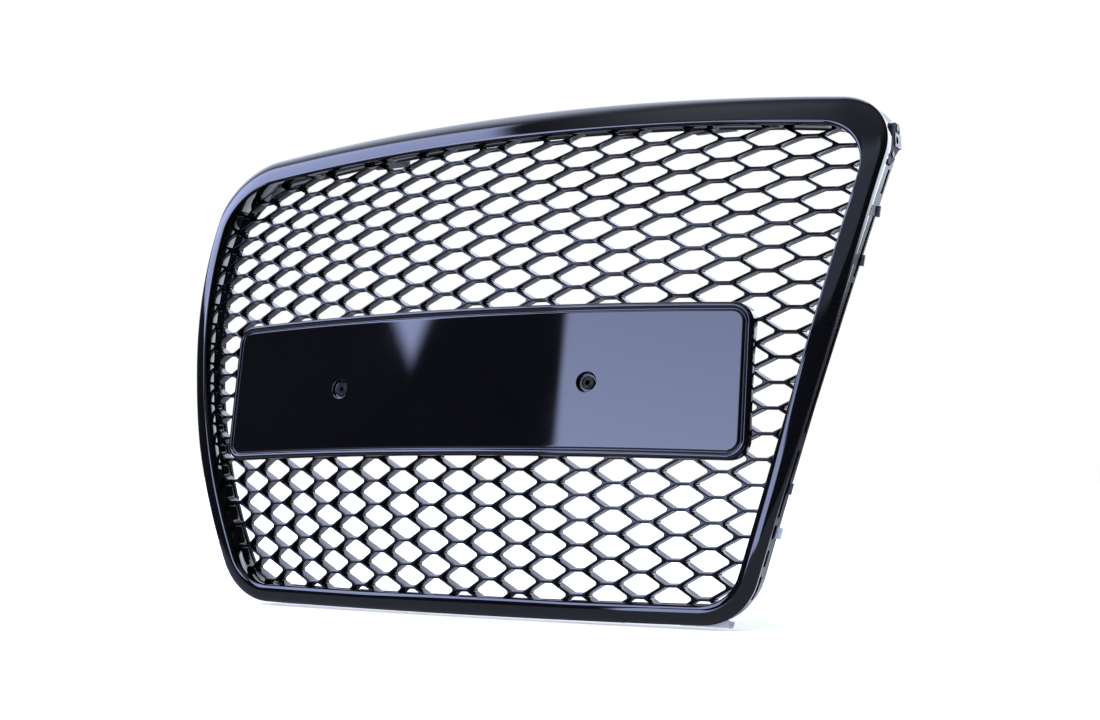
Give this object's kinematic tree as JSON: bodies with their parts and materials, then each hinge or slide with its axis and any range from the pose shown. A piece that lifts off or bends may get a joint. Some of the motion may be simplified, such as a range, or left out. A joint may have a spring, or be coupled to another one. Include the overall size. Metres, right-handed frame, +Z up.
{
  "type": "front grille",
  "caption": "Car front grille: curved gloss black surround, honeycomb insert and number plate plinth on a rear carrier with mounting brackets and clips.",
  "frame": {"origin": "midway between the two upper mounting holes, at the brackets' top faces", "axes": "+Z up, -Y out of the grille's front, +X to the right when looking along +Y; X = 0 is the centre plane"},
  "size_m": [0.7106, 0.2024, 0.4698],
  "materials": {
    "gloss_black": "high gloss black",
    "satin_black": "satin moulded black",
    "grey_plastic": "satin grey",
    "pale_plastic": "satin pale grey",
    "zinc_plated": "bright zinc"
  },
  "bodies": {
    "root": {"surround_frame": "gloss_black", "carrier_frame": "satin_black", "honeycomb_insert": "gloss_black", "plate_plinth": "gloss_black", "plate_nut_left": "satin_black", "plate_nut_right": "satin_black", "plinth_screws": "zinc_plated", "insert_screws": "zinc_plated", "retaining_clips": "grey_plastic", "locating_pins": "pale_plastic", "upper_bracket_left": "grey_plastic", "upper_bracket_right": "grey_plastic", "upper_sleeve_left": "zinc_plated", "upper_sleeve_right": "zinc_plated", "upper_bracket_screws": "zinc_plated", "side_bracket_left": "grey_plastic", "side_bracket_right": "grey_plastic", "spring_nut_left": "zinc_plated", "spring_nut_right": "zinc_plated", "side_bracket_screws": "zinc_plated", "side_clip_left": "pale_plastic", "side_clip_right": "pale_plastic", "lower_clips": "pale_plastic"}
  },
  "joints": []
}
